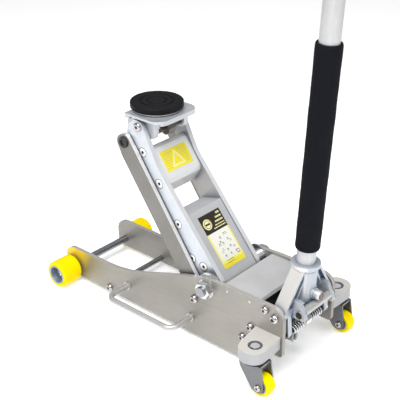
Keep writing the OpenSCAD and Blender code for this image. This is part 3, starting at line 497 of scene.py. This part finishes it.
# ---- Foam sleeve: a slightly uneven tube with soft ends ----
def foam_profile():
    z0, z1, r = 109.0, 475.0, 21.9
    pts = [(17.1, z0, 0), (r - 1.2, z0, 1.0), (r, z0 + 3, 1.2)]
    steps = 26
    for k in range(1, steps):
        z = z0 + 3 + (z1 - z0 - 6) * k / steps
        pts.append((r - 0.18 * math.sin(k * 1.7) - 0.12 * math.cos(k * 0.9), z, 0))
    return pts + [(r, z1 - 3, 1.2), (r - 1.2, z1, 1.0), (17.1, z1, 0)]


foam = lathe("FoamSleeve", foam_profile(), FOAM, ON_HANDLE, 96, closed=True)
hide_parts("foam_sleeve")
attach(foam, "handle")

# ---- Ribbed hand grip at the top of the handle ----
def grip_profile():
    z0, z1, r = 910.0, 1040.0, 19.2
    pts = [(17.1, z0, 0), (20, z0, 0.8), (20, z0 + 7, 0.8)]
    z = z0 + 9
    while z < z1 - 16:
        pts += [(r - 0.9, z, 0.2), (r - 0.9, z + 1.2, 0.2), (r, z + 1.9, 0.4), (r, z + 4.6, 0.4)]
        z += 5.6
    return pts + [(20, z1 - 12, 0.8), (20, z1 - 2, 1.6), (15, z1, 1.5), (0, z1, 0)]


grip = lathe("HandleGrip", grip_profile(), GRIP, ON_HANDLE, 72)
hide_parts("handle_grip")
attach(grip, "handle")

# ---- Wheel tyres ----
def tyre(name, r_in, r_out, half, shoulder, material, matrix, node, body):
    crown = 0.5
    pts = [(r_in, -half + 0.2, 0), (r_out - shoulder, -half, 0.6),
           (r_out - crown, -half + shoulder, shoulder * 0.9), (r_out, 0, 60),
           (r_out - crown, half - shoulder, shoulder * 0.9), (r_out - shoulder, half, 0.6),
           (r_in, half - 0.2, 0)]
    obj = lathe(name, pts, material, matrix @ ALONG_Y, 112, closed=True)
    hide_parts(node)
    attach(obj, body)


for side, flip in (("left", Matrix()), ("right", MIRROR_Y)):
    hub_mid = HUB_Y0 + FRONT_W / 2
    tyre(f"{side.title()}FrontTyre", 20, FRONT_R, FRONT_W / 2 - 0.5, 2.6, YELLOW,
         flip @ Matrix.Translation((AXLE_X, hub_mid, FRONT_R)), f"{side}_front_tyre", f"{side}_front_wheel")
    tyre(f"{side.title()}CasterTyre", 14, CASTER_R, CASTER_W / 2 - 0.2, 1.8, YELLOW,
         flip @ Matrix.Translation((KING.x - TRAIL, KING.y, CASTER_R)), f"{side}_caster_tyre",
         f"{side}_caster_wheel")

# ---- Return springs ----
def spring(name, sign):
    turns, r, wire = 5.5, 7.0, 1.45
    y0, y1 = 10.2, 42.4
    steps = int(turns * 28)
    path = []
    for k in range(steps + 1):
        t = k / steps
        a = 2 * math.pi * turns * t
        path.append((ROLLER.x - r * math.cos(a), sign * (y0 + (y1 - y0) * t), ROLLER.z + r * math.sin(a)))
    path += [(ROLLER.x + r * 0.9, sign * y1, ROLLER.z + z) for z in (5, 10, 18, 26, 31)]
    return sweep(name, path, wire, SPRING, ON_HANDLE)


for side, sign in (("Left", 1), ("Right", -1)):
    coil = spring(f"{side}ReturnSpring", sign)
    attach(coil, "socket")
    if sign > 0:
        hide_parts("return_springs")

# ---- Painted shade: dark hex discs in the arm screws' recesses and dark rings in the shaded gaps around their heads; and the black ends of the socket's tie shaft ----
for side, flip in (("Left", Matrix()), ("Right", MIRROR_Y)):
    for k, (u, v) in enumerate(ARM_SCREWS):
        recess_shade = slab(f"{side}ScrewRecessShade.{k}", disc(0, 0, RECESS_R, 6), 0.3, SHADE_BLACK,
                    flip @ ON_ARM @ Matrix.Translation((u, RECESS_Y, v)) @ ALONG_Y)
        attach(recess_shade, "lift_arm")
        gap_shade_ring = lathe(f"{side}ScrewGapShade.{k}", [(8.5, 0, 0), (9.5, 0, 0), (9.5, 0.28, 0), (8.5, 0.28, 0)],
                    DARK_STEEL, flip @ ON_ARM @ Matrix.Translation((u, RIM_Y, v)) @ ALONG_Y, 48, closed=True)
        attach(gap_shade_ring, "lift_arm")
    cap = lathe(f"{side}TieCap", [(0, 0, 0), (6.4, 0, 0), (6.4, 1.2, 0.4), (4.6, 1.2, 0.2), (4.2, 0.6, 0.1),
                                  (3.0, 0.6, 0.1), (2.6, 1.0, 0.2), (0, 1.0, 0)],
                DARK_STEEL, flip @ ON_HANDLE @ Matrix.Translation(TIE_END) @ ALONG_Y, 48)
    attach(cap, "socket")

# ---- End face of the clamp pin ----
pin_end = lathe("ClampPinEnd", [(0, 0, 0), (6.6, 0, 0), (6.6, 2.2, 0.6), (0, 2.2, 0)], PIN_END,
                ON_HANDLE @ Matrix.Translation(CLAMP_END) @ BACKWARDS, 48)
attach(pin_end, "socket")

# ---- Labels, with plain generic shapes in place of print ----
def on_label(u, v_top):
    return ON_ARM @ Matrix.Translation((u, 0, v_top))


def label_part(name, outline, layer, material, matrix, body="lift_arm"):
    obj = slab(name, outline, 0.12 if layer else 0.35, material, matrix @ Matrix.Translation((0, 0, layer)))
    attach(obj, body)
    return obj


caution = on_label(218, -5.0)
base = label_part("CautionLabel", rect(0, -34.5, 40, 34.5), 0, LABEL_YELLOW, caution)
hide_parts("arm_labels")
for row in range(7):
    u = 5.5 + row * 4.6
    cut = 19 - row * 2.1
    for sign in (1, -1):
        y0, y1 = sorted((sign * cut, sign * 31))
        label_part(f"CautionLine.{row}.{'L' if sign > 0 else 'R'}", rect(u, y0, u + 1.3, y1), 0.36,
                   LABEL_DIM, caution)
tri = [(5, 17), (5, -17), (37, 0)]
inner = [(8, 12), (8, -12), (30.5, 0)]
for k in range(3):
    j = (k + 1) % 3
    label_part(f"CautionFrame.{k}", [tri[k], tri[j], inner[j], inner[k]], 0.5, LABEL_CREAM, caution)

rim12 = 17 - 12 * RIM_DROP - 2.5
spec = on_label(12, rim12) @ Matrix.Rotation(math.atan(RIM_DROP), 4, "Y")
label_part("PlateLabel", rect(0, -29.5, 107, 29.5), 0, LABEL_PALE, spec)
label_part("PlateLabelFoot", rect(0.5, -29, 10.5, 29), 0.36, LABEL_YELLOW, spec)
label_part("PlateLabelHead", rect(70, -29.5, 107, 29.5), 0.36, LABEL_BLACK, spec)
label_part("PlateLabelPanel", rect(15, -25, 70, 25), 0.36, LABEL_WHITE, spec)
for k, (r, paint) in enumerate([(10.5, LABEL_CREAM), (8.0, LABEL_BLACK), (7.0, LABEL_CREAM)]):
    label_part(f"PlateLabelEmblem.{k}", disc(88, 15.5, r), 0.5 + 0.14 * k, paint, spec)
label_part("PlateLabelEmblemBar", rect(86.2, 9.6, 89.8, 21.4), 0.92, LABEL_BLACK, spec)


def dashes(name, u, h, y0, y1, pattern, material, layer=0.5):
    """A row of short blocks of unequal length, standing in for a line of print."""
    y, k = y1, 0
    while y > y0 + 1:
        step = pattern[k % len(pattern)]
        label_part(f"{name}.{k}", rect(u, max(y0, y - step), u + h, y), layer, material, spec)
        y, k = y - step - 0.9, k + 1


for k, (u, y0, y1, h, pattern) in enumerate([
        (99.5, -25.5, -16.5, 3.6, (3.6, 4.0)), (92.2, -27, -10, 3.2, (2.2, 3.4, 2.6, 4.4)),
        (85.0, -27, -5, 3.2, (3.4, 5.0, 2.4, 3.0)), (79.4, -27, -1, 1.9, (4.4, 2.6, 3.6)),
        (74.6, -27, 5, 1.9, (2.8, 4.6, 3.4, 5.2))]):
    dashes(f"PlateLabelRow.{k}", u, h, y0, y1, pattern, LABEL_CREAM)
for row, (u, marks) in enumerate([
        (60, (-14, -9)), (56, (4,)), (48, (-12, 8)), (44, (-17, 3, 13)), (34, (-10, 11)),
        (30, (-18, 0, 15)), (21, (-16, -3, 12))]):
    for col, y in enumerate(marks):
        long = 1.6 + (row * 2 + col) % 3
        label_part(f"PlateMark.{row}.{col}", rect(u, y - long / 2, u + 2.2, y + long / 2), 0.5, LABEL_INK, spec)
        label_part(f"PlateMarkThin.{row}.{col}", rect(u - 1.9, y - 3.4, u - 1.3, y + 2.6), 0.5, LABEL_INK, spec)
dashes("PlateLabelLine.0", 11.6, 1.3, -3, 15, (3.0, 2.0, 4.2), LABEL_INK)
dashes("PlateLabelLine.1", 7.2, 1.1, -4, 17, (2.4, 3.6, 1.8), LABEL_INK)
label_part("PlateLabelSquare", rect(15.5, -24.5, 22.5, -17.5), 0.5, LABEL_INK, spec)
label_part("PlateLabelSquareIn", rect(16.7, -23.3, 21.3, -18.7), 0.64, LABEL_WHITE, spec)


# ---- Floor, light and camera ----
def pale_floor():
    bm = bmesh.new()
    bmesh.ops.create_grid(bm, x_segments=1, y_segments=1, size=6000)
    s = Shader("PaleFloor")
    s.put(Roughness=0.9, Specular_IOR_Level=0.1, Emission_Color=(1, 1, 1, 1), Emission_Strength=0.3)
    shade = s.mix(s.spread(s.noise(2.0), 0.3, 0.7), (0.93, 0.93, 0.93), (0.96, 0.96, 0.96))
    s.link(shade, s.bsdf.inputs["Base Color"])
    obj = from_bmesh("PaleFloor", bm, s.material, smooth=False)


def area_light(name, place, target, size, power, color=(1, 1, 1)):
    data = bpy.data.lights.new(name, "AREA")
    data.shape, data.size, data.size_y, data.energy, data.color = "RECTANGLE", size[0], size[1], power, color
    obj = bpy.data.objects.new(name, data)
    bpy.context.scene.collection.objects.link(obj)
    obj.location = place
    obj.rotation_euler = (Vector(target) - Vector(place)).to_track_quat("-Z", "Y").to_euler()


def studio():
    world = bpy.data.worlds.new("Studio")
    bpy.context.scene.world = world
    world.use_nodes = True
    nodes, links = world.node_tree.nodes, world.node_tree.links
    coords = nodes.new("ShaderNodeTexCoord")
    split = nodes.new("ShaderNodeSeparateXYZ")
    ramp = nodes.new("ShaderNodeValToRGB")
    links.new(coords.outputs["Generated"], split.inputs[0])
    links.new(split.outputs["Z"], ramp.inputs["Fac"])
    links.new(ramp.outputs["Color"], nodes["Background"].inputs["Color"])
    ramp.color_ramp.elements[0].color = (0.46, 0.47, 0.49, 1)
    ramp.color_ramp.elements[1].position = 0.7
    ramp.color_ramp.elements[1].color = (1, 1, 1, 1)
    nodes["Background"].inputs["Strength"].default_value = 0.5
    target = (0, 0, 0.2)
    area_light("TopSoft", (-0.45, 1.0, 2.5), target, (1.8, 1.6), 78)
    area_light("LeftSoft", (0.2, 2.6, 1.2), target, (1.0, 1.4), 5, (1.0, 0.99, 0.96))
    area_light("RearSoft", (-2.6, -0.2, 1.6), target, (1.2, 1.6), 19, (0.97, 0.98, 1.0))
    area_light("RearFill", (-0.75, 0.85, 0.5), (-0.25, 0.1, 0.1), (0.3, 0.3), 0.5, (1.0, 0.99, 0.95))


def camera():
    az, el, roll = (math.radians(v) for v in (131.32, 27.21, -0.41))
    back = Vector((math.cos(el) * math.cos(az), math.cos(el) * math.sin(az), math.sin(el)))
    right = Vector((-math.sin(az), math.cos(az), 0))
    up = back.cross(right)
    side = math.cos(roll) * right + math.sin(roll) * up
    top = math.cos(roll) * up - math.sin(roll) * right
    placed = Matrix((side, top, back)).transposed().to_4x4()
    placed.translation = Vector((AXLE_X - 1282.61, 1140.87, 1024.37)) * MM
    data = bpy.data.cameras.new("Camera")
    data.sensor_width, data.lens = 36.0, 918.32 / 400 * 36
    data.clip_start, data.clip_end = 0.05, 30
    obj = bpy.data.objects.new("Camera", data)
    bpy.context.scene.collection.objects.link(obj)
    obj.matrix_world = placed
    bpy.context.scene.camera = obj


pale_floor()
studio()
camera()
bpy.context.scene.view_settings.view_transform = "Standard"
